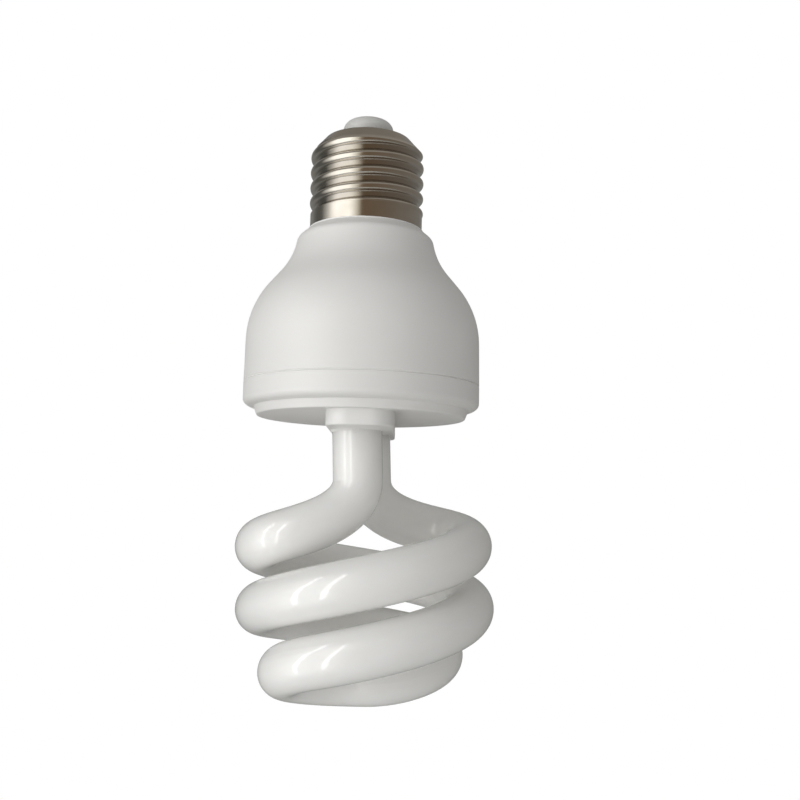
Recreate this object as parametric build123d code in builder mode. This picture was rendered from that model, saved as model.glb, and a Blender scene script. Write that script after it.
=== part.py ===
"""Compact fluorescent reptile lamp: a spiral tube on a moulded ballast housing with an E27 screw cap.

The lamp hangs cap up. The origin is the tip of the centre contact, +Z points into the lampholder,
and the lamp reaches down to -Z. Sizes are in millimetres.
"""
import os
from math import atan2, cos, pi, radians, sin, sqrt, tan

from build123d import *

os.makedirs("parts", exist_ok=True)

# Screw cap: the 27 mm Edison cap, with its rolled knuckle thread
cap_length = 27.0
thread_pitch = 3.629
thread_crest_radius = 13.2
knuckle_radius = 1.025
thread_depth = 1.095
thread_turns = 5.2
turns_to_front_crest = 2.75
front_crest_depth = 14.37
thread_runout_height = 3.2
shell_sheet = 0.35
shell_top_depth = 5.45
shoulder_inner_radius = 10.1
shoulder_height = 2.4
skirt_radius = 13.0
skirt_height = 3.6
cap_fit = 0.1

# Insulator and centre contact
insulator_nose_radius = 5.9
insulator_nose_round = 2.4
insulator_base_radius = 10.9
insulator_base_depth = 8.3
insulator_rim = 1.0
contact_radius = 3.4
contact_height = 0.4
contact_flat_radius = 2.4
contact_shank_radius = 1.3

# Ballast housing: neck, collar, flared shoulder and drum, moulded with one wall
housing_wall = 1.5
neck_wall = 1.6
collar_radius = 15.7
collar_height = 2.3
collar_round = 2.0
waist_radius = 16.73
waist_drop = 7.4
waist_round = 17.0
waist_side_share = 0.85
flare_height = 11.9
drum_radius = 26.8
drum_taper = 0.25
drum_height = 16.7
drum_round = 20.0
seam_chamfer = 0.25

# Tube holder: the lower cover that snaps into the housing and carries the tube
holder_band_height = 4.5
holder_band_round = 0.9
holder_lip_step = 2.6
holder_lip_drop = 5.4
holder_lip_round = 0.6
holder_face_step = 3.7
holder_height = 7.5
holder_edge_round = 0.5
holder_floor = 1.8
holder_ring_wall = 1.6
holder_ring_height = 4.5
snap_fit = 0.15
boss_width = 15.0
boss_end_gap = 1.6
boss_corner_round = 1.2
boss_height = 3.2
boss_round = 0.4
sleeve_wall = 1.4
sleeve_height = 3.0

# Discharge tube: two strands wound side by side, joined by a crossing at the bottom
tube_radius = 5.5
tube_lean = 2.4
tube_shift = 0.35
leg_offset = 7.0
leg_angle = 83.2
leg_inside = 11.6
leg_end_round = 2.5
leg_straight = 10.6
leg_pull = 11.8
coil_radius = 23.15
coil_pitch = 27.3
coil_level = 25.65
coil_top_angle = 3.0
coil_bottom_angle = -295.0
coil_pull = 19.2
winding_pull = 17.5
crossing_depth = 55.2
crossing_angle = 170.3
crossing_pull = 11.8
leg_clearance = 0.25
cement_spread = 0.45
cement_edge = 0.12
cement_depth = 0.5
cement_gap = 0.03

# Ballast board and the parts that stand on it
board_fit = 0.75
board_thickness = 1.6
lead_radius = 0.3
stand_off = 0.8
capacitor_radius = 5.0
capacitor_height = 20.0
capacitor_round = 0.5
capacitor_spot = (-2.0, 2.5)
core_width = 13.0
core_depth = 6.0
core_height = 12.5
core_limb = 2.6
winding_wall = 2.2
bobbin_flange = 0.7
choke_spot = (-12.5, -6.5)
toroid_radius = 5.0
toroid_bore_radius = 2.6
toroid_height = 4.0
toroid_wire = 0.6
toroid_groups = 3
toroid_turn_step = 18.0
toroid_spot = (11.0, -10.5)
transistor_size = (8.0, 2.7, 11.0)
transistor_hole_radius = 1.6
transistor_hole_height = 7.7
transistor_lead_spacing = 2.3
transistor_spots = ((14.0, 4.0), (10.5, 13.5))
transistor_turns = (80.0, 35.0)
diode_radius = 1.35
diode_length = 5.2
diode_row = (-9.6, 13.8)
diode_spacing = 3.6
film_size = (7.2, 3.6, 7.5)
film_spots = ((1.0, -17.0), (5.2, -1.0))
film_turns = (0.0, 90.0)
resonant_size = (10.0, 4.6, 9.5)
resonant_spot = (-14.0, 5.5)
resonant_turn = 15.0
resistor_radius = 1.2
resistor_length = 6.2
resistor_spots = ((1.0, -6.0), (1.0, -11.0), (3.5, 20.0))
diac_radius = 0.95
diac_length = 3.8
diac_spot = (10.5, -1.0)
filter_radius = 3.2
filter_height = 8.5
filter_round = 0.5
filter_spot = (18.5, -3.5)
fuse_radius = 1.7
fuse_length = 9.0
fuse_round = 0.4
fuse_spot = (7.5, 7.0)
wire_radius = 0.5
pin_radius = 0.45
pin_fit = 0.05
pin_rise = 5.0
pin_drop = 2.2
pin_inset = 0.9
pin_angles = (41.5, 56.0, 236.0, 221.5)
filament_radius = 0.2
filament_spacing = 2.4
filament_rise = 0.7

thread_root_radius = thread_crest_radius - thread_depth
thread_bore_radius = thread_root_radius - shell_sheet
skirt_bore_radius = skirt_radius - shell_sheet
skirt_top = -(cap_length - skirt_height)
waist_depth = cap_length + waist_drop
drum_corner_depth = waist_depth + flare_height
seam_depth = drum_corner_depth + drum_height
drum_top_radius = drum_radius - drum_taper
holder_ring_radius = drum_radius - housing_wall - snap_fit
holder_ring_bore_radius = holder_ring_radius - holder_ring_wall
holder_lip_radius = drum_radius - holder_lip_step
holder_face_radius = drum_radius - holder_face_step
board_radius = holder_ring_radius - board_fit
board_bottom = -(seam_depth - holder_ring_height)
board_top = board_bottom + board_thickness
underside = -(seam_depth + holder_height)
boss_face = underside - boss_height
tube_place = Location((tube_shift, 0, boss_face), (0, -tube_lean, 0))
leg_spots = [
    (side * leg_offset * cos(radians(leg_angle)), side * leg_offset * sin(radians(leg_angle)), 0)
    for side in (1, -1)
]
pin_circle = holder_ring_bore_radius - pin_inset
pin_spots = [(pin_circle * cos(radians(angle)), pin_circle * sin(radians(angle))) for angle in pin_angles]


def save(piece, name):
    """Label a finished piece and write it to a file of its own."""
    piece.part.label = name
    export_step(piece.part, f"parts/{name}.step")


def lathe(*outline):
    """A body turned about the lamp's axis from an outline of (radius, height) points."""
    with BuildPart() as turned:
        with BuildSketch(Plane.XZ):
            with BuildLine():
                Polyline(*outline, close=True)
            make_face()
        revolve(axis=Axis.Z)
    return turned.part


# Screw shell. One knuckle ridge is swept along the helix, trimmed where it runs out at the
# shoulder and at the skirt, and joined to a core that stands a little above the thread's root.
ridge_radius = thread_crest_radius - knuckle_radius
half_pitch = thread_pitch / 2
root_centre = 2 * knuckle_radius - thread_depth
root_trim = knuckle_radius / 8
root_fill = 0.08
core_radius = thread_root_radius + root_fill
thread_start = -front_crest_depth - turns_to_front_crest * thread_pitch
outside = thread_crest_radius + shell_sheet
shell_opening_radius = insulator_nose_radius + cap_fit

with BuildPart() as thread_ridge:
    with BuildLine() as thread_path:
        Helix(thread_pitch, thread_turns * thread_pitch, ridge_radius, center=(0, 0, thread_start))
    flank = (root_centre / 2, half_pitch / 2)
    foot = (root_centre - sqrt(knuckle_radius**2 - root_trim**2), half_pitch - root_trim)
    low_flank = (flank[0], -flank[1])
    low_foot = (foot[0], -foot[1])
    buried = -thread_depth / 2
    with BuildSketch(Plane(thread_path.line @ 0, x_dir=(1, 0, 0), z_dir=thread_path.line % 0)):
        with BuildLine():
            RadiusArc(low_flank, flank, -knuckle_radius)
            RadiusArc(flank, foot, knuckle_radius)
            Polyline(foot, (buried, foot[1]), (buried, low_foot[1]), low_foot)
            RadiusArc(low_foot, low_flank, knuckle_radius)
        make_face()
    sweep(path=thread_path.line, is_frenet=True)
    shoulder_trim = lathe(
        (0, 0),
        (0, -shell_top_depth + shell_sheet),
        (shoulder_inner_radius - shell_sheet, -shell_top_depth + shell_sheet),
        (outside, -shell_top_depth - thread_runout_height - 2 * shell_sheet),
        (outside, 0),
    )
    add(shoulder_trim, mode=Mode.SUBTRACT)
    skirt_trim = lathe(
        (0, skirt_top - shell_sheet),
        (skirt_radius - shell_sheet / 3, skirt_top - shell_sheet),
        (skirt_radius - shell_sheet / 3, skirt_top),
        (outside, skirt_top + thread_depth),
        (outside, -cap_length - thread_pitch),
        (0, -cap_length - thread_pitch),
    )
    add(skirt_trim, mode=Mode.SUBTRACT)

with BuildPart() as screw_shell:
    with BuildSketch(Plane.XZ):
        with BuildLine():
            Polyline(
                (0, -shell_top_depth),
                (shoulder_inner_radius, -shell_top_depth),
                (core_radius, -shell_top_depth - shoulder_height),
                (core_radius, skirt_top + knuckle_radius / 2),
                (skirt_radius, skirt_top),
                (skirt_radius, -cap_length),
                (0, -cap_length),
                close=True,
            )
        make_face()
    revolve(axis=Axis.Z)
    add(thread_ridge.part)
    with BuildSketch(Plane.XZ):
        with BuildLine():
            Polyline(
                (0, 0),
                (shell_opening_radius, 0),
                (shell_opening_radius, -shell_top_depth - shell_sheet),
                (shoulder_inner_radius - shell_sheet / 2, -shell_top_depth - shell_sheet),
                (thread_bore_radius, -shell_top_depth - shoulder_height),
                (thread_bore_radius, skirt_top),
                (skirt_bore_radius, skirt_top - knuckle_radius / 2),
                (skirt_bore_radius, -cap_length),
                (0, -cap_length),
                close=True,
            )
        make_face()
    revolve(axis=Axis.Z, mode=Mode.SUBTRACT)

# Insulator: a round-nosed plug under the shell's lip, with a seat for the contact
contact_seat = -contact_height
lip_bottom = -shell_top_depth - shell_sheet
neck_top = -insulator_base_depth
lip_hold_radius = shoulder_inner_radius - shell_sheet - cap_fit
with BuildPart() as cap_insulator:
    with BuildSketch(Plane.XZ):
        with BuildLine():
            FilletPolyline(
                (contact_shank_radius, contact_seat),
                (insulator_nose_radius, contact_seat),
                (insulator_nose_radius, lip_bottom),
                radius=insulator_nose_round,
            )
            Polyline(
                (insulator_nose_radius, lip_bottom),
                (lip_hold_radius, lip_bottom),
                (insulator_base_radius, neck_top + insulator_rim),
                (insulator_base_radius, neck_top),
                (contact_shank_radius, neck_top),
                (contact_shank_radius, contact_seat),
            )
        make_face()
    revolve(axis=Axis.Z)

with BuildPart() as centre_contact:
    with BuildSketch(Plane.XZ):
        with BuildLine():
            edge_top = (contact_radius, contact_seat + contact_height / 3)
            Line((0, 0), (contact_flat_radius, 0))
            TangentArc((contact_flat_radius, 0), edge_top, tangent=(1, 0))
            Polyline(
                edge_top,
                (contact_radius, contact_seat),
                (contact_shank_radius, contact_seat),
                (contact_shank_radius, neck_top - shell_sheet),
                (0, neck_top - shell_sheet),
                (0, 0),
            )
        make_face()
    revolve(axis=Axis.Z)

# Upper housing: the neck inside the cap, and the bell below it with one wall all the way down
neck_radius = thread_bore_radius - cap_fit
neck_bore_radius = neck_radius - neck_wall
seat_radius = skirt_bore_radius - cap_fit
seat_top = skirt_top - knuckle_radius
notch_width = 4 * wire_radius
notch_depth = 4 * wire_radius
waist_side = sqrt((waist_radius - collar_radius) ** 2 + (waist_drop - collar_height) ** 2)
waist_turn = atan2(drum_top_radius - waist_radius, flare_height) - atan2(
    waist_radius - collar_radius, waist_drop - collar_height
)
waist_fillet = min(waist_round, waist_side_share * waist_side / tan(waist_turn / 2))
with BuildPart() as upper_housing:
    with BuildSketch(Plane.XZ):
        with BuildLine():
            FilletPolyline(
                (skirt_radius, -cap_length),
                (collar_radius, -cap_length - collar_height),
                (waist_radius, -waist_depth),
                (drum_top_radius, -drum_corner_depth),
                (drum_radius, -seam_depth),
                radius=[collar_round, waist_fillet, drum_round],
            )
            offset(amount=housing_wall, side=Side.RIGHT)
        make_face()
    revolve(axis=Axis.Z)
    with BuildSketch(Plane.XZ):
        with BuildLine():
            Polyline(
                (neck_bore_radius, neck_top),
                (neck_radius, neck_top),
                (neck_radius, seat_top),
                (seat_radius, seat_top),
                (seat_radius, -cap_length),
                (skirt_radius + shell_sheet, -cap_length),
                (skirt_radius, -cap_length - housing_wall),
                (neck_bore_radius, -cap_length - housing_wall),
                close=True,
            )
        make_face()
    revolve(axis=Axis.Z)
    with Locations((0, neck_radius, neck_top)):
        Box(notch_width, 4 * neck_wall, 2 * notch_depth, mode=Mode.SUBTRACT)
    split(bisect_by=Plane.XY.offset(-seam_depth), keep=Keep.TOP)
    rim_edge = edges().group_by(Axis.Z)[0].sort_by(SortBy.LENGTH)[-1]
    chamfer(rim_edge, seam_chamfer)

# Tube holder: the band, the stepped lip, the flat underside with its boss, and the snap ring
floor_top = underside + holder_floor
leg_hole_radius = tube_radius + leg_clearance
boss_end_radius = holder_face_radius - boss_end_gap
sleeve_width = 2 * (leg_hole_radius + sleeve_wall)
with BuildPart() as tube_holder:
    with BuildSketch(Plane.XZ):
        with BuildLine():
            Line((drum_radius - seam_chamfer, -seam_depth), (drum_radius, -seam_depth - seam_chamfer))
            FilletPolyline(
                (drum_radius, -seam_depth - seam_chamfer),
                (drum_radius, -seam_depth - holder_band_height),
                (holder_lip_radius, -seam_depth - holder_lip_drop),
                (holder_face_radius, underside),
                (0, underside),
                radius=[holder_band_round, holder_lip_round, holder_edge_round],
            )
            Polyline(
                (0, underside),
                (0, floor_top),
                (holder_ring_bore_radius, floor_top),
                (holder_ring_bore_radius, board_bottom),
                (holder_ring_radius, board_bottom),
                (holder_ring_radius, -seam_depth),
                (drum_radius - seam_chamfer, -seam_depth),
            )
        make_face()
    revolve(axis=Axis.Z)
    with BuildSketch(Plane.XY.offset(underside)) as boss_section:
        Rectangle(boss_width, 2 * boss_end_radius)
        Circle(boss_end_radius, mode=Mode.INTERSECT)
        fillet(boss_section.vertices(), boss_corner_round)
    extrude(amount=-boss_height)
    fillet(edges().group_by(Axis.Z)[0], boss_round)
    with BuildSketch(Plane.XY.offset(floor_top)):
        with Locations((tube_shift, 0)):
            SlotOverall(sleeve_width + 2 * leg_offset, sleeve_width, rotation=leg_angle)
    extrude(amount=sleeve_height)
    with Locations(tube_place):
        with Locations(leg_spots):
            Cylinder(leg_hole_radius, 4 * leg_inside, mode=Mode.SUBTRACT)


# Discharge tube. One strand is drawn in the coil's own frame, turned so that the winding's lower
# end lies on +X. The second strand is the same one half a turn round.
def strand_point(radius, angle, level):
    turn = radians(angle - coil_bottom_angle)
    return Vector(radius * cos(turn), radius * sin(turn), level)


def winding_level(angle):
    return -coil_level + coil_pitch * angle / 360


def winding_direction(angle):
    """The way the winding runs as it comes down, as a unit vector."""
    turn = radians(angle - coil_bottom_angle)
    return Vector(coil_radius * sin(turn), -coil_radius * cos(turn), -coil_pitch / (2 * pi)).normalized()


winding_top = strand_point(coil_radius, coil_top_angle, winding_level(coil_top_angle))
winding_bottom = strand_point(coil_radius, coil_bottom_angle, winding_level(coil_bottom_angle))
leg_bottom = strand_point(leg_offset, leg_angle, -leg_straight)
leg_top = strand_point(leg_offset, leg_angle, leg_inside)
crossing = Vector(0, 0, -crossing_depth)
crossing_start = crossing - crossing_pull * strand_point(1, crossing_angle, 0)

with BuildPart() as strand:
    with BuildLine() as strand_path:
        Bezier(
            crossing,
            crossing_start,
            winding_bottom + winding_pull * winding_direction(coil_bottom_angle),
            winding_bottom,
        )
        Helix(
            coil_pitch,
            winding_top.Z - winding_bottom.Z,
            coil_radius,
            center=(0, 0, winding_bottom.Z),
        )
        Bezier(
            winding_top,
            winding_top - coil_pull * winding_direction(coil_top_angle),
            leg_bottom - Vector(0, 0, leg_pull),
            leg_bottom,
        )
        Line(leg_bottom, leg_top)
    strand_wire = strand_path.wire()
    with BuildSketch(Plane(strand_wire @ 0, z_dir=strand_wire % 0)):
        Circle(tube_radius)
    sweep(path=strand_wire)
    fillet(edges().sort_by(Axis.Z)[-1], leg_end_round)

with BuildPart() as discharge_tube:
    for half_turn in (0, 180):
        add(tube_place * Rotation(0, 0, coil_bottom_angle + half_turn) * strand.part)

# Cement: it fills the clearance round each leg in its hole and stands a little proud of the boss
on_top = (Align.CENTER, Align.CENTER, Align.MIN)
below = (Align.CENTER, Align.CENTER, Align.MAX)
bead_radius = tube_radius + cement_spread
with BuildPart() as tube_cement:
    with Locations(tube_place):
        with Locations(leg_spots):
            Cone(tube_radius + cement_edge, bead_radius, cement_depth, align=below)
            Cylinder(bead_radius, cement_depth, align=on_top)
            Cylinder(leg_hole_radius, 2 * boss_height, align=on_top)
    with Locations(tube_place):
        with Locations(leg_spots):
            Cylinder(tube_radius + cement_gap, 6 * boss_height, mode=Mode.SUBTRACT)
    add(tube_holder.part, mode=Mode.SUBTRACT)

# Ballast board, resting on the holder's snap ring
with BuildPart() as ballast_board:
    with BuildSketch(Plane.XY.offset(board_bottom)):
        Circle(board_radius)
        with Locations(pin_spots):
            Circle(pin_radius + pin_fit, mode=Mode.SUBTRACT)
    extrude(amount=board_thickness)


def on_board(x, y, turn=0.0, rise=0.0):
    return Location((x, y, board_top + rise), (0, 0, turn))


def axial_parts(body_radius, body_length, spots, turn=0.0):
    """Bodies lying just above the board, each on one lead bent down to it at either end."""
    reach = body_length / 2 + 2 * stand_off
    height = body_radius + stand_off / 2
    with BuildPart() as single:
        with BuildLine() as lead_path:
            FilletPolyline(
                (-reach, 0, 0),
                (-reach, 0, height),
                (reach, 0, height),
                (reach, 0, 0),
                radius=2 * lead_radius,
            )
        lead_wire = lead_path.wire()
        with BuildSketch(Plane(lead_wire @ 0, z_dir=lead_wire % 0)):
            Circle(lead_radius)
        sweep(path=lead_wire)
        with Locations((0, 0, height)):
            Cylinder(body_radius, body_length, rotation=(0, 90, 0))
    with BuildPart() as bodies:
        for x, y in spots:
            add(on_board(x, y, turn) * single.part)
    return bodies


def boxed_parts(size, spots, turns):
    """Rounded boxes standing on two short leads."""
    length, width, height = size
    with BuildPart() as bodies:
        for (x, y), turn in zip(spots, turns):
            with BuildSketch(Plane(on_board(x, y, turn, stand_off))):
                RectangleRounded(length, width, width / 4)
            extrude(amount=height)
            with Locations(on_board(x, y, turn)):
                with Locations((-length / 3, 0, 0), (length / 3, 0, 0)):
                    Cylinder(lead_radius, 2 * stand_off, align=on_top)
    return bodies


with BuildPart() as electrolytic_capacitor:
    with Locations(on_board(*capacitor_spot, 0, stand_off)):
        Cylinder(capacitor_radius, capacitor_height, align=on_top)
    fillet(edges().filter_by(GeomType.CIRCLE), capacitor_round)
    with Locations(on_board(*capacitor_spot)):
        with Locations((-capacitor_radius / 2, 0, 0), (capacitor_radius / 2, 0, 0)):
            Cylinder(lead_radius, 2 * stand_off, align=on_top)

# Choke: an E core with its winding and bobbin round the middle limb
window_height = core_height - 2 * core_limb
window_width = (core_width - 4 * core_limb) / 2 + core_limb / 2
with BuildPart() as choke_core:
    with Locations(on_board(*choke_spot)):
        Box(core_width, core_depth, core_height, align=on_top)
        for side in (-1, 1):
            with Locations((side * (core_limb / 2 + window_width / 2), 0, core_limb)):
                Box(window_width, core_depth, window_height, align=on_top, mode=Mode.SUBTRACT)

with BuildPart() as choke_winding:
    with Locations(on_board(*choke_spot, 0, core_limb)):
        Box(
            core_limb + 2 * winding_wall - bobbin_flange,
            core_depth + 2 * winding_wall - bobbin_flange,
            window_height,
            align=on_top,
        )
        with Locations((0, 0, 0), (0, 0, window_height - bobbin_flange)):
            Box(
                core_limb + 2 * winding_wall,
                core_depth + 2 * winding_wall,
                bobbin_flange,
                align=on_top,
            )
        Box(core_limb, core_depth, window_height, align=on_top, mode=Mode.SUBTRACT)

# Drive transformer: a ferrite ring with three groups of turns
toroid_middle = toroid_wire + toroid_height / 2
ring_band = toroid_radius - toroid_bore_radius
with BuildPart() as toroid_core:
    with Locations(on_board(*toroid_spot, 0, toroid_middle)):
        Cylinder(toroid_radius, toroid_height)
        Cylinder(toroid_bore_radius, toroid_height, mode=Mode.SUBTRACT)

with BuildPart() as toroid_windings:
    for group in range(toroid_groups):
        for step in (-1, 0, 1):
            turn = 360 / toroid_groups * group + step * toroid_turn_step
            with Locations(on_board(*toroid_spot, turn, toroid_middle)):
                with Locations((toroid_bore_radius + ring_band / 2, 0, 0)):
                    Box(ring_band + 2 * toroid_wire, toroid_wire, toroid_height + 2 * toroid_wire)
    add(toroid_core.part, mode=Mode.SUBTRACT)

with BuildPart() as switching_transistors:
    for (x, y), turn in zip(transistor_spots, transistor_turns):
        with Locations(on_board(x, y, turn, 2 * stand_off)):
            Box(*transistor_size, align=on_top)
            with Locations((0, 0, transistor_hole_height)):
                Cylinder(
                    transistor_hole_radius,
                    2 * transistor_size[1],
                    rotation=(90, 0, 0),
                    mode=Mode.SUBTRACT,
                )
        with Locations(on_board(x, y, turn)):
            for step in (-1, 0, 1):
                with Locations((step * transistor_lead_spacing, 0, 0)):
                    Cylinder(lead_radius, 3 * stand_off, align=on_top)

diode_spots = [(diode_row[0] + diode_spacing * step, diode_row[1]) for step in (-1.5, -0.5, 0.5, 1.5)]
rectifier_diodes = axial_parts(diode_radius, diode_length, diode_spots, 90)
ballast_resistors = axial_parts(resistor_radius, resistor_length, resistor_spots)
starting_diac = axial_parts(diac_radius, diac_length, [diac_spot], 90)
film_capacitors = boxed_parts(film_size, film_spots, film_turns)
resonant_capacitor = boxed_parts(resonant_size, [resonant_spot], [resonant_turn])

with BuildPart() as filter_choke:
    with Locations(on_board(*filter_spot)):
        Cylinder(filter_radius, filter_height, align=on_top)
    fillet(edges().filter_by(GeomType.CIRCLE), filter_round)

# Supply leads: the live lead rises through the fusible resistor to the contact, and the neutral
# lead turns out through the neck's notch to the shell
fuse_top = board_top + 3 * stand_off + fuse_length
with BuildPart() as fusible_resistor:
    with Locations(on_board(*fuse_spot, 0, 2 * stand_off)):
        Cylinder(fuse_radius, fuse_length, align=on_top)
    fillet(edges().filter_by(GeomType.CIRCLE), fuse_round)
    with Locations(on_board(*fuse_spot)):
        Cylinder(lead_radius, fuse_length + 3 * stand_off, align=on_top)

with BuildPart() as live_lead:
    with BuildLine() as live_path:
        FilletPolyline(
            (*fuse_spot, fuse_top),
            (*fuse_spot, fuse_top + 8 * wire_radius),
            (fuse_spot[0] / 2, 0, -cap_length),
            (0, 0, neck_top - 8 * wire_radius),
            (0, 0, neck_top - shell_sheet),
            radius=[3 * wire_radius, 8 * wire_radius, 6 * wire_radius],
        )
    live_wire = live_path.wire()
    with BuildSketch(Plane(live_wire @ 0, z_dir=live_wire % 0)):
        Circle(wire_radius)
    sweep(path=live_wire)

neutral_radius = neck_bore_radius - 2 * wire_radius
neutral_level = neck_top - notch_depth + 1.5 * wire_radius
with BuildPart() as neutral_lead:
    with BuildLine() as neutral_path:
        FilletPolyline(
            (0, neutral_radius + wire_radius, board_top),
            (0, neutral_radius, -cap_length),
            (0, neutral_radius, neutral_level),
            (0, thread_bore_radius, neutral_level),
            radius=[8 * wire_radius, 2 * wire_radius],
        )
    neutral_wire = neutral_path.wire()
    with BuildSketch(Plane(neutral_wire @ 0, z_dir=neutral_wire % 0)):
        Circle(wire_radius)
    sweep(path=neutral_wire)

with BuildPart() as wrap_pins:
    for x, y in pin_spots:
        with Locations((x, y, board_bottom - pin_drop)):
            Cylinder(pin_radius, pin_drop + board_thickness + pin_rise, align=on_top)

# Filament leads: two thin wires from each end of the tube to the feet of its two pins
with BuildPart() as filament_leads:
    for place in (0, 1, 2, 3):
        x, y, _ = leg_spots[place // 2]
        side = filament_spacing * (0.5 - place % 2)
        end = (tube_place * Location((x + side, y, leg_inside))).position
        pin_x, pin_y = pin_spots[place]
        level = end.Z + filament_rise
        with BuildLine() as filament_path:
            FilletPolyline(
                end,
                (end.X, end.Y, level),
                (pin_x, pin_y, level),
                (pin_x, pin_y, board_bottom - pin_drop),
                radius=1.5 * filament_radius,
            )
        filament_wire = filament_path.wire()
        with BuildSketch(Plane(filament_wire @ 0, z_dir=filament_wire % 0)) as filament_section:
            Circle(filament_radius)
        sweep(filament_section.sketch, path=filament_wire)

pieces = {
    "screw_shell": screw_shell,
    "cap_insulator": cap_insulator,
    "centre_contact": centre_contact,
    "upper_housing": upper_housing,
    "tube_holder": tube_holder,
    "discharge_tube": discharge_tube,
    "tube_cement": tube_cement,
    "ballast_board": ballast_board,
    "electrolytic_capacitor": electrolytic_capacitor,
    "choke_core": choke_core,
    "choke_winding": choke_winding,
    "toroid_core": toroid_core,
    "toroid_windings": toroid_windings,
    "switching_transistors": switching_transistors,
    "rectifier_diodes": rectifier_diodes,
    "ballast_resistors": ballast_resistors,
    "starting_diac": starting_diac,
    "film_capacitors": film_capacitors,
    "resonant_capacitor": resonant_capacitor,
    "filter_choke": filter_choke,
    "fusible_resistor": fusible_resistor,
    "live_lead": live_lead,
    "neutral_lead": neutral_lead,
    "wrap_pins": wrap_pins,
    "filament_leads": filament_leads,
}
for name, piece in pieces.items():
    save(piece, name)
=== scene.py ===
"""Looks of the compact fluorescent reptile lamp: finishes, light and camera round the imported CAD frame.

Lengths are in metres, and the tube holder's sizes in millimetres. The lamp hangs cap up, and the tip of its
centre contact is the origin.
"""

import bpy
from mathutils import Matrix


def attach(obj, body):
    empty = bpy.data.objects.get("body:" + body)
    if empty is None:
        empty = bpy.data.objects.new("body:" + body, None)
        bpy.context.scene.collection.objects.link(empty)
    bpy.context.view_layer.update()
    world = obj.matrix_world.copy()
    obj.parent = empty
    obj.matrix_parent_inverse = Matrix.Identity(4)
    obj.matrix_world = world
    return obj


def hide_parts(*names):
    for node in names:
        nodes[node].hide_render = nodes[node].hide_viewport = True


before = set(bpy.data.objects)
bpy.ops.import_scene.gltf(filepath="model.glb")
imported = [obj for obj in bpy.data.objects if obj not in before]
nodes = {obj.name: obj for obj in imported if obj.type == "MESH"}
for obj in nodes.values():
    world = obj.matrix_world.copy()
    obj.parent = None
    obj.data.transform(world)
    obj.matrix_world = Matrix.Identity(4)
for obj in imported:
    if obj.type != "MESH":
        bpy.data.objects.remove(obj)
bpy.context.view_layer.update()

from math import cos, pi, radians, sin

import bmesh
import bpy
from mathutils import Matrix, Vector

scene = bpy.context.scene
scene.view_settings.view_transform = "Standard"

# Camera: the photograph's viewpoint, a little below the lamp's middle and looking up at it
PICTURE_SIDE = 800
CAMERA_TARGET = Vector((0, 0, -0.0691))
CAMERA_DISTANCE = 0.2309
CAMERA_ELEVATION = radians(-6.60)
CAMERA_ROLL = radians(1.264)
METRES_PER_PIXEL = 0.0002282
TARGET_PIXEL = (361.1, 412.3)
SENSOR_WIDTH = 36
CLIP_START = 0.01
CLIP_END = 20

# The place that the lights face, and the middle of the room
LAMP_MIDDLE = Vector((0, 0, -0.067))

# Lights: azimuth and elevation in degrees, distance, width, height and radiance. The two panes stand inside
# the room's dome, which hides what is beyond it from sharp reflections
WINDOW = (-54, 4, 0.70, 0.34, 0.72, 2.75)
LEFT_PANE = (-58, 3, 0.42, 0.042, 0.70, 4.4)
RIGHT_PANE = (-30, 3, 0.42, 0.042, 0.70, 4.4)
LOW_FILL = (-16, -30, 0.75, 0.40, 0.36, 3.6)
FILL_COLOUR = (1.0, 0.995, 0.985, 1)
FILL_STRENGTH = 0.43
WHITE = (1, 1, 1, 1)

# What reflections find round the lamp: azimuth in degrees and colour, from behind, past the left, the camera's
# side and the right, to behind again. The colour steps up at 150 degrees
ROOM = (
    (-180, (0.24, 0.24, 0.23)), (-142, (0.25, 0.25, 0.24)),
    (-116, (0.11, 0.11, 0.10)), (-98, (0.11, 0.11, 0.10)),
    (-80, (0.75, 0.74, 0.70)), (-70, (1.45, 1.43, 1.37)),
    (-62, (1.65, 1.63, 1.57)), (-32, (1.65, 1.63, 1.54)),
    (-17, (0.85, 0.80, 0.70)), (-8, (0.16, 0.11, 0.068)),
    (150, (0.22, 0.215, 0.20)), (150.01, (0.249, 0.2475, 0.233)),
    (180, (0.24, 0.24, 0.23)),
)
ROOM_RADIUS = 0.62
ROOM_SEGMENTS = 48
ROOM_RINGS = 24
CEILING = (0.31, 0.29, 0.26, 1)
GROUND = (0.36, 0.35, 0.32, 1)

# Elevations in degrees from which and to which the walls fade into the ceiling and the ground
CEILING_FADE = (34, 50)
GROUND_FADE = (-40, -56)

# Floor: a disc that grows whiter from its middle to its rim, by distances from the middle
FLOOR_LEVEL = -0.55
FLOOR_SIDES = 96
FLOOR_REACH = 1.4
FLOOR_COLOUR = (0.62, 0.62, 0.61, 1)
FLOOR_FADE = (0.25, 0.7)
MIDDLE_WHITENESS = 0.6

# Sockets of a Mix node that mixes colours: its two inputs and its output
FIRST, SECOND, MIXED = 6, 7, 2

# Finishes: radii of the thread, between which shade is painted into its roots, how dark that painted shade
# gets, and the part of a noise's range that most of it fills
THREAD_CREST = 0.0132
THREAD_ROOT = 0.0121
CREST_BAND = 0.0003
ROOT_PAINTED_SHADE = 0.55
NOISE_LOW, NOISE_HIGH = 0.25, 0.75
MOULDED_GRAIN = 0.00035
MOULDED_DEPTH = 0.000012
WHITE_PLASTIC = ((0.80, 0.795, 0.78), (0.775, 0.77, 0.755))

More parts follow.
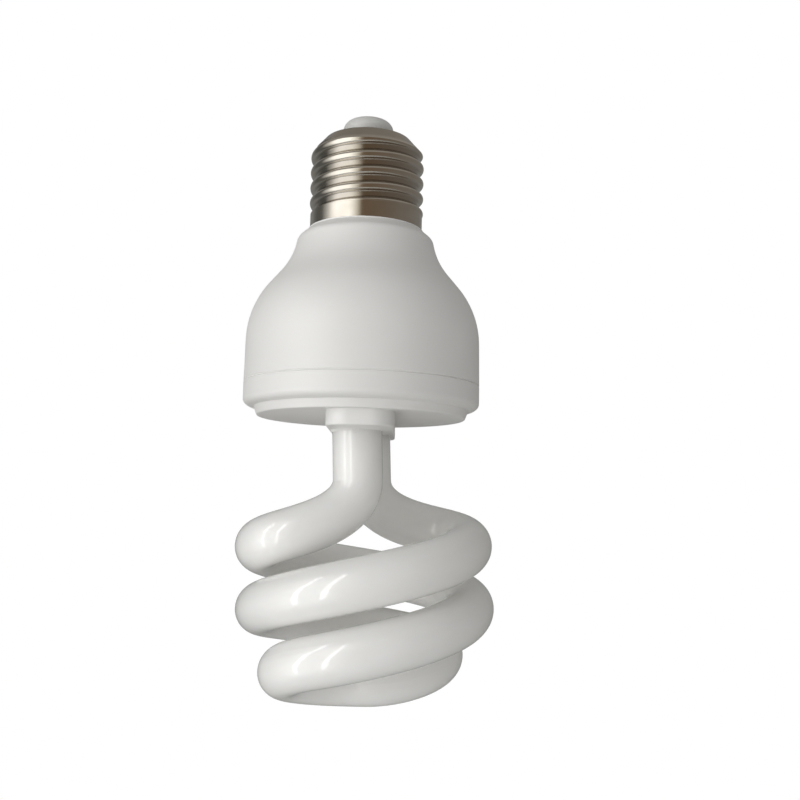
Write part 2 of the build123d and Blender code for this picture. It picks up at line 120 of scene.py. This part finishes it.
# The tube holder, in millimetres. Its cover is turned about the lamp's axis
MM = 0.001
TURN_SIDES = 256
SEAM = -63.0
SEAM_CHAMFER = 0.25
BAND_RADIUS = 26.8
INNER_FLOOR = -68.7
RING_TOP = -58.5
RING_RADIUS = 25.15
RING_BORE = 23.55
CORNER_TOP = -66.9
CORNER_WIDTH = 2.3
CORNER_HEIGHT = 1.65
CORNER_SWEEP = (0, -88)
CORNER_STEPS = 12
LIP_STEP = ((24.36, -68.62), (24.28, -68.75))
LIP_ROUND = 0.4
LIP_SWEEP = (-20, -90)
LIP_STEPS = 4
UNDERSIDE = -70.5
UNDERSIDE_RADIUS = 23.35
BOSS_MIDDLE = 0.45
BOSS_HALF_WIDTH = 7.3
BOSS_HALF_LENGTH = 21.9
BOSS_CORNER = 5.2
BOSS_CORNER_STEPS = 14
BOSS_ROUND = 0.4
BOSS_ROUND_STEPS = 6
BOSS_FACE = -73.95
BOSS_TOP = INNER_FLOOR - 1  # inside the cover's floor, so that the two overlap
SHARP_ANGLE = radians(34)


def make_camera():
    """The photograph's camera, with the target at the photograph's pixel."""
    back = Vector((0, -cos(CAMERA_ELEVATION), sin(CAMERA_ELEVATION)))
    level_right = Vector((1, 0, 0))
    level_up = back.cross(level_right)
    right = cos(CAMERA_ROLL) * level_right + sin(CAMERA_ROLL) * level_up
    up = cos(CAMERA_ROLL) * level_up - sin(CAMERA_ROLL) * level_right
    across = (TARGET_PIXEL[0] - PICTURE_SIDE / 2) * METRES_PER_PIXEL
    down = (TARGET_PIXEL[1] - PICTURE_SIDE / 2) * METRES_PER_PIXEL
    place = CAMERA_TARGET + CAMERA_DISTANCE * back - across * right + down * up
    data = bpy.data.cameras.new("camera")
    data.sensor_width = SENSOR_WIDTH
    data.lens = CAMERA_DISTANCE / METRES_PER_PIXEL / PICTURE_SIDE * SENSOR_WIDTH
    data.clip_start = CLIP_START
    data.clip_end = CLIP_END
    camera = bpy.data.objects.new("camera", data)
    turn = Matrix((right, up, back)).transposed().to_4x4()
    camera.matrix_world = Matrix.Translation(place) @ turn
    scene.collection.objects.link(camera)
    scene.camera = camera


def around(azimuth, elevation, distance):
    """A place round the lamp's middle. Azimuth 0 is the camera's side and 90 its right."""
    a, e = radians(azimuth), radians(elevation)
    return LAMP_MIDDLE + distance * Vector((sin(a) * cos(e), -cos(a) * cos(e), sin(e)))


def softbox(name, azimuth, elevation, distance, width, height, radiance):
    """A rectangular light that faces the lamp's middle. Neither the camera nor a reflection sees it."""
    data = bpy.data.lights.new(name, "AREA")
    data.shape = "RECTANGLE"
    data.size, data.size_y = width, height
    data.energy = radiance * pi * width * height
    light = bpy.data.objects.new(name, data)
    place = around(azimuth, elevation, distance)
    light.location = place
    light.rotation_mode = "QUATERNION"
    light.rotation_quaternion = (LAMP_MIDDLE - place).to_track_quat("-Z", "Y")
    light.visible_camera = False
    light.visible_glossy = False
    scene.collection.objects.link(light)
    return light


def node(tree, kind, inputs=None, **settings):
    """A shader node with its settings and its unlinked inputs."""
    made = tree.nodes.new(kind)
    for key, value in settings.items():
        setattr(made, key, value)
    for key, value in (inputs or {}).items():
        made.inputs[key].default_value = value
    return made


def wire(tree, *links):
    """Link outputs to inputs, each link an output and an input."""
    for start, end in links:
        tree.links.new(start, end)


def new_material(name):
    """An empty material and its node tree."""
    made = bpy.data.materials.new(name)
    made.use_nodes = True
    made.node_tree.nodes.clear()
    return made, made.node_tree


def fade(tree, elevations):
    """From 0 to 1 between two elevations in degrees, for the height of a direction."""
    start, end = (sin(radians(elevation)) for elevation in elevations)
    return node(tree, "ShaderNodeMapRange", {"From Min": start, "From Max": end})


def make_room():
    """A dome that only reflections see: a window on the left, a brown wall in front, grey above and below."""
    mesh = bpy.data.meshes.new("room")
    shape = bmesh.new()
    bmesh.ops.create_uvsphere(
        shape, u_segments=ROOM_SEGMENTS, v_segments=ROOM_RINGS, radius=ROOM_RADIUS
    )
    shape.to_mesh(mesh)
    shape.free()
    room = bpy.data.objects.new("room", mesh)
    room.location = LAMP_MIDDLE
    scene.collection.objects.link(room)
    paint, tree = new_material("room")
    place = node(tree, "ShaderNodeTexCoord")
    unit = node(tree, "ShaderNodeVectorMath", operation="NORMALIZE")
    parts = node(tree, "ShaderNodeSeparateXYZ")
    front = node(tree, "ShaderNodeMath", {1: -1.0}, operation="MULTIPLY")
    azimuth = node(tree, "ShaderNodeMath", operation="ARCTAN2")
    turn = node(tree, "ShaderNodeMapRange", {"From Min": -pi, "From Max": pi})
    walls = node(tree, "ShaderNodeValToRGB")
    # A new ramp has a stop at each end, and keeps its stops in order
    stops = walls.color_ramp.elements
    for angle, _ in ROOM[1:-1]:
        stops.new((angle + 180) / 360)
    for stop, (_, colour) in zip(stops, ROOM):
        stop.color = (*colour, 1)
    up = fade(tree, CEILING_FADE)
    down = fade(tree, GROUND_FADE)
    ceiling = node(tree, "ShaderNodeMix", {SECOND: CEILING}, data_type="RGBA")
    ground = node(tree, "ShaderNodeMix", {SECOND: GROUND}, data_type="RGBA")
    glow = node(tree, "ShaderNodeEmission")
    out = node(tree, "ShaderNodeOutputMaterial")
    wire(
        tree,
        (place.outputs["Object"], unit.inputs[0]),
        (unit.outputs[0], parts.inputs[0]),
        (parts.outputs["Y"], front.inputs[0]),
        (parts.outputs["X"], azimuth.inputs[0]),
        (front.outputs[0], azimuth.inputs[1]),
        (azimuth.outputs[0], turn.inputs["Value"]),
        (turn.outputs[0], walls.inputs[0]),
        (parts.outputs["Z"], up.inputs["Value"]),
        (parts.outputs["Z"], down.inputs["Value"]),
        (up.outputs[0], ceiling.inputs["Factor"]),
        (walls.outputs[0], ceiling.inputs[FIRST]),
        (down.outputs[0], ground.inputs["Factor"]),
        (ceiling.outputs[MIXED], ground.inputs[FIRST]),
        (ground.outputs[MIXED], glow.inputs["Color"]),
        (glow.outputs[0], out.inputs["Surface"]),
    )
    mesh.materials.append(paint)
    room.visible_camera = False
    room.visible_diffuse = False
    room.visible_transmission = False
    room.visible_shadow = False


def make_world():
    """A world that looks white, directly, reflected or through glass, and lights the lamp with a soft fill."""
    world = bpy.data.worlds.new("studio")
    scene.world = world
    world.use_nodes = True
    tree = world.node_tree
    tree.nodes.clear()
    path = node(tree, "ShaderNodeLightPath")
    camera_or_glossy = node(tree, "ShaderNodeMath", operation="MAXIMUM")
    seen = node(tree, "ShaderNodeMath", operation="MAXIMUM")
    fill = node(tree, "ShaderNodeBackground", {"Color": FILL_COLOUR, "Strength": FILL_STRENGTH})
    white = node(tree, "ShaderNodeBackground", {"Color": WHITE, "Strength": 1.0})
    mix = node(tree, "ShaderNodeMixShader")
    out = node(tree, "ShaderNodeOutputWorld")
    wire(
        tree,
        (path.outputs["Is Camera Ray"], camera_or_glossy.inputs[0]),
        (path.outputs["Is Glossy Ray"], camera_or_glossy.inputs[1]),
        (camera_or_glossy.outputs[0], seen.inputs[0]),
        (path.outputs["Is Transmission Ray"], seen.inputs[1]),
        (seen.outputs[0], mix.inputs[0]),
        (fill.outputs[0], mix.inputs[1]),
        (white.outputs[0], mix.inputs[2]),
        (mix.outputs[0], out.inputs["Surface"]),
    )


def make_light():
    """The world, two soft lights, and two panes whose sharp reflections only the tube shows."""
    make_world()
    softbox("window", *WINDOW)
    glazed = bpy.data.collections.new("glazed")
    glazed.objects.link(nodes["discharge_tube"])
    for name, facts in (("left_pane", LEFT_PANE), ("right_pane", RIGHT_PANE)):
        pane = softbox(name, *facts)
        pane.visible_glossy = True
        pane.visible_diffuse = False
        pane.light_linking.receiver_collection = glazed
    softbox("low_fill", *LOW_FILL)


def make_floor():
    """A pale disc under the lamp, which glows white for the camera towards its rim."""
    mesh = bpy.data.meshes.new("floor")
    angles = [radians(360 * i / FLOOR_SIDES) for i in range(FLOOR_SIDES)]
    rim = [(FLOOR_REACH * cos(a), FLOOR_REACH * sin(a), 0) for a in angles]
    mesh.from_pydata(rim, [], [tuple(range(FLOOR_SIDES))])
    floor = bpy.data.objects.new("floor", mesh)
    floor.location = (0, 0, FLOOR_LEVEL)
    scene.collection.objects.link(floor)
    paint, tree = new_material("floor")
    path = node(tree, "ShaderNodeLightPath")
    place = node(tree, "ShaderNodeTexCoord")
    length = node(tree, "ShaderNodeVectorMath", operation="LENGTH")
    far = node(tree, "ShaderNodeMapRange", {
        "From Min": FLOOR_FADE[0], "From Max": FLOOR_FADE[1], "To Min": MIDDLE_WHITENESS,
    })
    both = node(tree, "ShaderNodeMath", operation="MULTIPLY")
    matt = node(tree, "ShaderNodeBsdfDiffuse", {"Color": FLOOR_COLOUR})
    glow = node(tree, "ShaderNodeEmission", {"Color": WHITE, "Strength": 1.0})
    mix = node(tree, "ShaderNodeMixShader")
    out = node(tree, "ShaderNodeOutputMaterial")
    wire(
        tree,
        (place.outputs["Object"], length.inputs[0]),
        (length.outputs["Value"], far.inputs["Value"]),
        (far.outputs[0], both.inputs[0]),
        (path.outputs["Is Camera Ray"], both.inputs[1]),
        (both.outputs[0], mix.inputs[0]),
        (matt.outputs[0], mix.inputs[1]),
        (glow.outputs[0], mix.inputs[2]),
        (mix.outputs[0], out.inputs["Surface"]),
    )
    mesh.materials.append(paint)


class Finish:
    """A procedural finish: a shader whose colour, roughness and bump come from patterns in the lamp's frame."""

    def __init__(self, name, **shader):
        self.material, self.tree = new_material(name)
        self.shader = node(self.tree, "ShaderNodeBsdfPrincipled", shader)
        out = node(self.tree, "ShaderNodeOutputMaterial")
        self.link(self.shader.outputs[0], out.inputs["Surface"])
        self.place = node(self.tree, "ShaderNodeTexCoord").outputs["Object"]

    def link(self, start, end):
        self.tree.links.new(start, end)

    def noise(self, grain, detail=2.0, stretch=(1, 1, 1)):
        """Noise from 0 to 1 whose features are about grain metres across."""
        scaled = node(self.tree, "ShaderNodeVectorMath", {1: stretch}, operation="MULTIPLY")
        made = node(self.tree, "ShaderNodeTexNoise", {"Scale": 1 / grain, "Detail": detail})
        self.link(self.place, scaled.inputs[0])
        self.link(scaled.outputs[0], made.inputs["Vector"])
        return made.outputs[0]

    def ranged(self, value, low, high, to_low=0.0, to_high=1.0):
        """A value between low and high, taken to the same place between to_low and to_high."""
        made = node(self.tree, "ShaderNodeMapRange", {
            "From Min": low, "From Max": high, "To Min": to_low, "To Max": to_high,
        })
        self.link(value, made.inputs["Value"])
        return made.outputs[0]

    def blend(self, factor, first, second):
        """The first colour where factor is 0 and the second where it is 1. Each is a colour or an output."""
        made = node(self.tree, "ShaderNodeMix", data_type="RGBA")
        self.link(factor, made.inputs["Factor"])
        for socket, colour in ((FIRST, first), (SECOND, second)):
            if isinstance(colour, tuple):
                made.inputs[socket].default_value = (*colour, 1)
            else:
                self.link(colour, made.inputs[socket])
        return made.outputs[MIXED]

    def radius(self):
        """Distance from the lamp's axis."""
        flat = node(self.tree, "ShaderNodeVectorMath", {1: (1, 1, 0)}, operation="MULTIPLY")
        length = node(self.tree, "ShaderNodeVectorMath", operation="LENGTH")
        self.link(self.place, flat.inputs[0])
        self.link(flat.outputs[0], length.inputs[0])
        return length.outputs["Value"]

    def colour(self, value):
        self.link(value, self.shader.inputs["Base Color"])

    def roughness(self, value, low, high):
        """Roughness from low to high, as a noise goes through most of its range."""
        self.link(self.ranged(value, NOISE_LOW, NOISE_HIGH, low, high), self.shader.inputs["Roughness"])

    def bump(self, value, depth, strength):
        """A bump of a depth in metres. It comes last, and gives back the finish."""
        made = node(self.tree, "ShaderNodeBump", {"Strength": strength, "Distance": depth})
        self.link(value, made.inputs["Height"])
        self.link(made.outputs[0], self.shader.inputs["Normal"])
        return self


def nickel():
    """Nickel plate, drawn in rings and lightly stained, with shade painted darker into the thread's roots."""
    finish = Finish("nickel_shell", **{"Metallic": 1.0})
    drawn = finish.noise(grain=0.0016, detail=3.0, stretch=(0.05, 0.05, 3.0))
    stain = finish.noise(grain=0.004, detail=4.0)
    # Painted shade: from just below the crest down to the roots, the plate's colour is painted towards a dark
    # brown
    root = finish.ranged(finish.radius(), THREAD_ROOT, THREAD_CREST - CREST_BAND, ROOT_PAINTED_SHADE, 0.0)
    plate = finish.blend(finish.ranged(stain, 0.35, 0.7), (0.66, 0.63, 0.585), (0.60, 0.565, 0.515))
    finish.colour(finish.blend(root, plate, (0.30, 0.27, 0.235)))
    finish.roughness(stain, 0.10, 0.21)
    return finish.bump(drawn, depth=0.00002, strength=0.35)


def moulded(name, colour, shade, low=0.36, high=0.46):
    """Moulded plastic: a colour that drifts to a shade of itself, roughness from low to high, a fine grain."""
    finish = Finish(name, **{"IOR": 1.5})
    drift = finish.ranged(finish.noise(grain=0.018, detail=3.0), 0.3, 0.7)
    finish.colour(finish.blend(drift, colour, shade))
    finish.roughness(finish.noise(grain=0.006, detail=4.0), low, high)
    return finish.bump(finish.noise(grain=MOULDED_GRAIN), depth=MOULDED_DEPTH, strength=0.6)


def phosphor_glass():
    """Opal glass: a clear, sharp coat over a scattering base whose coating is a little uneven."""
    finish = Finish("phosphor_glass", **{
        "IOR": 1.5, "Specular IOR Level": 0.2, "Coat Weight": 1.0, "Coat Roughness": 0.01,
        "Subsurface Weight": 0.5, "Subsurface Radius": (1.0, 0.95, 0.85), "Subsurface Scale": 0.012,
    })
    coating = finish.noise(grain=0.010, detail=4.0)
    grains = finish.noise(grain=0.0009, detail=3.0)
    base = finish.blend(finish.ranged(coating, 0.3, 0.7), (0.87, 0.865, 0.845), (0.845, 0.84, 0.82))
    finish.colour(finish.blend(finish.ranged(grains, 0.55, 0.8, 0, 0.2), base, (0.835, 0.825, 0.80)))
    finish.roughness(coating, 0.28, 0.36)
    return finish.bump(finish.noise(grain=0.02), depth=0.00001, strength=0.4)


def speckled(name, first, second, grain, low, high, depth, metallic=0.0):
    """A finish for small parts: two tones in a fine speckle, with a bump of the same grain.

    Grain and depth are in metres, and the roughness goes from low to high.
    """
    finish = Finish(name, **{"Metallic": metallic})
    speck = finish.noise(grain, detail=3.0)
    finish.colour(finish.blend(finish.ranged(speck, 0.35, 0.65), first, second))
    finish.roughness(finish.noise(grain * 4), low, high)
    return finish.bump(speck, depth, strength=0.5)


def dress(finish, *pieces):
    """Give a finish to pieces, each of them an object or the name of a CAD node."""
    for piece in pieces:
        thing = nodes[piece] if isinstance(piece, str) else piece
        if not thing.material_slots:
            thing.data.materials.append(finish.material)
        for slot in thing.material_slots:
            slot.material = finish.material


def turn_shell():
    """The screw shell turned half a turn about the lamp's axis, for the photograph's phase of the thread."""
    mesh = nodes["screw_shell"].data.copy()
    mesh.transform(Matrix.Rotation(pi, 4, "Z"))
    shell = bpy.data.objects.new("turned_screw_shell", mesh)
    scene.collection.objects.link(shell)
    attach(shell, "root")
    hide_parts("screw_shell")
    return shell


def arc(centre, across, along, start, end, steps):
    """Points on an ellipse about a centre, from one angle to another in degrees."""
    angles = [radians(start + (end - start) * i / steps) for i in range(steps + 1)]
    return [(centre[0] + across * cos(a), centre[1] + along * sin(a)) for a in angles]


def turn_outline(shape, outline):
    """Faces of a solid turned about the lamp's axis from an outline of (radius, height) in millimetres."""
    rings = []
    for radius, height in outline:
        count = TURN_SIDES if radius else 1
        angles = [2 * pi * i / count for i in range(count)]
        rings.append([
            shape.verts.new((MM * radius * cos(a), MM * radius * sin(a), MM * height)) for a in angles
        ])
    for one, two in zip(rings, rings[1:]):
        for i in range(TURN_SIDES):
            j = i + 1
            corners = (one[i % len(one)], one[j % len(one)], two[j % len(two)], two[i % len(two)])
            # A ring on the axis is one point, which a face takes once
            shape.faces.new(list(dict.fromkeys(corners)))


def solid_object(name, shape):
    """An object with the mesh of a bmesh, which is freed."""
    bmesh.ops.recalc_face_normals(shape, faces=shape.faces)
    mesh = bpy.data.meshes.new(name)
    shape.to_mesh(mesh)
    shape.free()
    made = bpy.data.objects.new(name, mesh)
    scene.collection.objects.link(made)
    return made


def make_cover():
    """The holder without its boss: band, soft corner, lip, floor and the snap ring above it."""
    corner = (BAND_RADIUS - CORNER_WIDTH, CORNER_TOP)
    lip = (UNDERSIDE_RADIUS, UNDERSIDE + LIP_ROUND)
    shape = bmesh.new()
    turn_outline(shape, [
        (0, INNER_FLOOR), (RING_BORE, INNER_FLOOR), (RING_BORE, RING_TOP),
        (RING_RADIUS, RING_TOP), (RING_RADIUS, SEAM),
        (BAND_RADIUS - SEAM_CHAMFER, SEAM), (BAND_RADIUS, SEAM - SEAM_CHAMFER),
        *arc(corner, CORNER_WIDTH, CORNER_HEIGHT, *CORNER_SWEEP, CORNER_STEPS),
        *LIP_STEP,
        *arc(lip, LIP_ROUND, LIP_ROUND, *LIP_SWEEP, LIP_STEPS),
        (0, UNDERSIDE),
    ])
    return solid_object("rounded_tube_holder", shape)


def make_boss():
    """The boss under the holder: a bar with round ends and a small round along its lower edge."""
    shape = bmesh.new()
    section = []
    for side_x, side_y, start in ((1, 1, 0), (-1, 1, 90), (-1, -1, 180), (1, -1, 270)):
        corner = (side_x * (BOSS_HALF_WIDTH - BOSS_CORNER), side_y * (BOSS_HALF_LENGTH - BOSS_CORNER))
        section += arc(corner, BOSS_CORNER, BOSS_CORNER, start, start + 90, BOSS_CORNER_STEPS)
    edge = (-BOSS_ROUND, BOSS_FACE + BOSS_ROUND)
    levels = [(0, BOSS_TOP), *arc(edge, BOSS_ROUND, BOSS_ROUND, 0, -90, BOSS_ROUND_STEPS)]
    rings = []
    for inset, height in levels:
        wide, long = 1 + inset / BOSS_HALF_WIDTH, 1 + inset / BOSS_HALF_LENGTH
        rings.append([
            shape.verts.new((MM * (BOSS_MIDDLE + x * wide), MM * y * long, MM * height)) for x, y in section
        ])
    for one, two in zip(rings, rings[1:]):
        for i in range(len(section)):
            j = (i + 1) % len(section)
            shape.faces.new((one[i], one[j], two[j], two[i]))
    shape.faces.new(rings[0])
    shape.faces.new(rings[-1][::-1])
    return solid_object("boss", shape)


def make_holder():
    """The tube holder as one solid: the cover and the boss, joined."""
    holder, boss = make_cover(), make_boss()
    union = holder.modifiers.new("boss", "BOOLEAN")
    union.operation = "UNION"
    union.object = boss
    bpy.context.view_layer.update()
    joined = bpy.data.meshes.new_from_object(holder.evaluated_get(bpy.context.evaluated_depsgraph_get()))
    holder.modifiers.clear()
    holder.data = joined
    bpy.data.objects.remove(boss)
    joined.shade_smooth()
    joined.set_sharp_from_angle(angle=SHARP_ANGLE)
    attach(holder, "root")
    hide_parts("tube_holder")
    return holder


def make_finishes():
    """The lamp's own pieces, and a finish for every piece and CAD node."""
    dress(nickel(), "screw_shell", turn_shell())
    dress(moulded("insulator_white", (0.70, 0.70, 0.685), (0.64, 0.64, 0.625), low=0.3, high=0.4),
          "cap_insulator")
    dress(speckled("tinned_contact", (0.68, 0.68, 0.67), (0.56, 0.56, 0.55), 0.0012, 0.25, 0.42, 0.00004, 1.0),
          "centre_contact")
    dress(moulded("housing_white", *WHITE_PLASTIC), "upper_housing")
    dress(moulded("holder_white", *WHITE_PLASTIC), "tube_holder", make_holder())
    dress(phosphor_glass(), "discharge_tube")
    dress(speckled("cement", (0.80, 0.795, 0.775), (0.74, 0.735, 0.71), 0.00025, 0.7, 0.85, 0.00003),
          "tube_cement")
    dress(speckled("board", (0.50, 0.38, 0.19), (0.42, 0.31, 0.15), 0.0008, 0.5, 0.65, 0.00002),
          "ballast_board")
    dress(speckled("capacitor_sleeve", (0.03, 0.035, 0.09), (0.04, 0.045, 0.11), 0.002, 0.25, 0.35, 0.00001),
          "electrolytic_capacitor")
    dress(speckled("ferrite", (0.07, 0.07, 0.075), (0.12, 0.12, 0.125), 0.0005, 0.5, 0.7, 0.00003),
          "choke_core", "toroid_core")
    dress(speckled("winding_tape", (0.78, 0.62, 0.12), (0.70, 0.54, 0.09), 0.003, 0.35, 0.5, 0.00003),
          "choke_winding")
    dress(speckled("enamelled_wire", (0.62, 0.25, 0.09), (0.50, 0.19, 0.07), 0.0006, 0.2, 0.35, 0.00002, 0.7),
          "toroid_windings")
    dress(speckled("moulded_black", (0.02, 0.02, 0.02), (0.04, 0.04, 0.04), 0.0004, 0.4, 0.55, 0.00002),
          "switching_transistors", "rectifier_diodes", "filter_choke")
    dress(speckled("resistor_lacquer", (0.60, 0.48, 0.30), (0.52, 0.41, 0.25), 0.001, 0.3, 0.45, 0.00002),
          "ballast_resistors", "fusible_resistor")
    dress(speckled("diac_glass", (0.12, 0.20, 0.55), (0.09, 0.15, 0.45), 0.0006, 0.2, 0.3, 0.00001),
          "starting_diac")
    dress(speckled("dipped_green", (0.05, 0.26, 0.12), (0.04, 0.20, 0.09), 0.0015, 0.25, 0.35, 0.00003),
          "film_capacitors")
    dress(speckled("dipped_brown", (0.34, 0.10, 0.04), (0.28, 0.08, 0.03), 0.0015, 0.25, 0.35, 0.00003),
          "resonant_capacitor")
    dress(speckled("lead_sleeve", (0.75, 0.75, 0.73), (0.66, 0.66, 0.64), 0.0004, 0.6, 0.8, 0.00003),
          "live_lead", "neutral_lead")
    dress(speckled("tinned_wire", (0.66, 0.66, 0.65), (0.56, 0.56, 0.55), 0.0006, 0.25, 0.4, 0.00001, 1.0),
          "wrap_pins", "filament_leads")


make_camera()
make_light()
make_room()
make_floor()
make_finishes()
